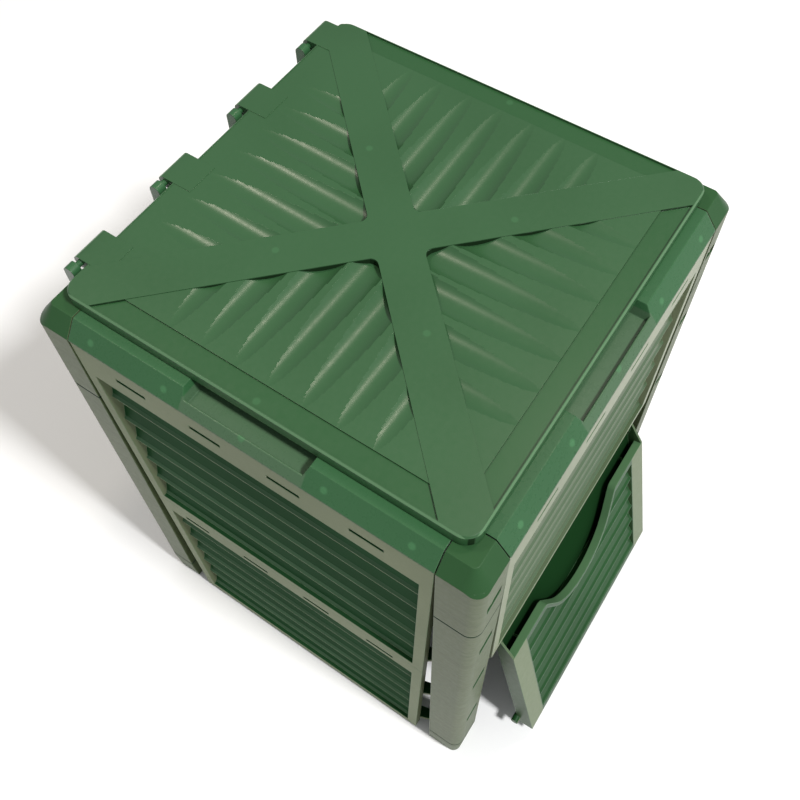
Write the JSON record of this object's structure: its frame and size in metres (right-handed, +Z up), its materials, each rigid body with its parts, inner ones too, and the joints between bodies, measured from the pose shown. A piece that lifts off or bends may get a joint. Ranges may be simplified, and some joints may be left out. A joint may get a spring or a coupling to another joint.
{
  "type": "compost bin",
  "caption": "Square plastic garden composter: louvred panels clipped between corner posts, hinged corrugated lid with crossed bands, and a louvred door hinged along its top, low on the front.",
  "frame": {"origin": "on the ground, under the middle of the whole outline with the door standing ajar as in the picture", "axes": "+Z up, -Y towards the door side, +Y towards the lid's hinge, +X to the right as seen from the door"},
  "size_m": [0.6, 0.6832, 0.836],
  "materials": {
    "lid_plastic": "satin moulded polypropylene",
    "body_plastic": "satin moulded polypropylene"
  },
  "bodies": {
    "base": {"corner_cap_front_left": "lid_plastic", "corner_cap_front_right": "lid_plastic", "corner_cap_back_left": "lid_plastic", "corner_cap_back_right": "lid_plastic", "corner_post_front_left": "body_plastic", "corner_post_front_right": "body_plastic", "corner_post_back_left": "body_plastic", "corner_post_back_right": "body_plastic", "corner_foot_front_left": "body_plastic", "corner_foot_front_right": "body_plastic", "corner_foot_back_left": "body_plastic", "corner_foot_back_right": "body_plastic", "rim_rail_front": "lid_plastic", "rim_rail_right": "lid_plastic", "rim_rail_back": "lid_plastic", "rim_rail_left": "lid_plastic", "upper_panel_front": "body_plastic", "upper_panel_right": "body_plastic", "upper_panel_back": "body_plastic", "upper_panel_left": "body_plastic", "lower_panel_right": "body_plastic", "lower_panel_back": "body_plastic", "lower_panel_left": "body_plastic"},
    "lid_body": {"lid": "lid_plastic"},
    "door_body": {"door": "body_plastic"}
  },
  "joints": [
    {"name": "lid_hinge", "type": "hinge", "parent": "base", "child": "lid_body", "pos_m": [0, 0.32557, 0.827], "axis": [-1, 0, 0], "range_deg": [0, 105]},
    {"name": "door_hinge", "type": "hinge", "parent": "base", "child": "door_body", "pos_m": [0, -0.24543, 0.34], "axis": [-1, 0, 0], "range_deg": [-12, 78]}
  ]
}
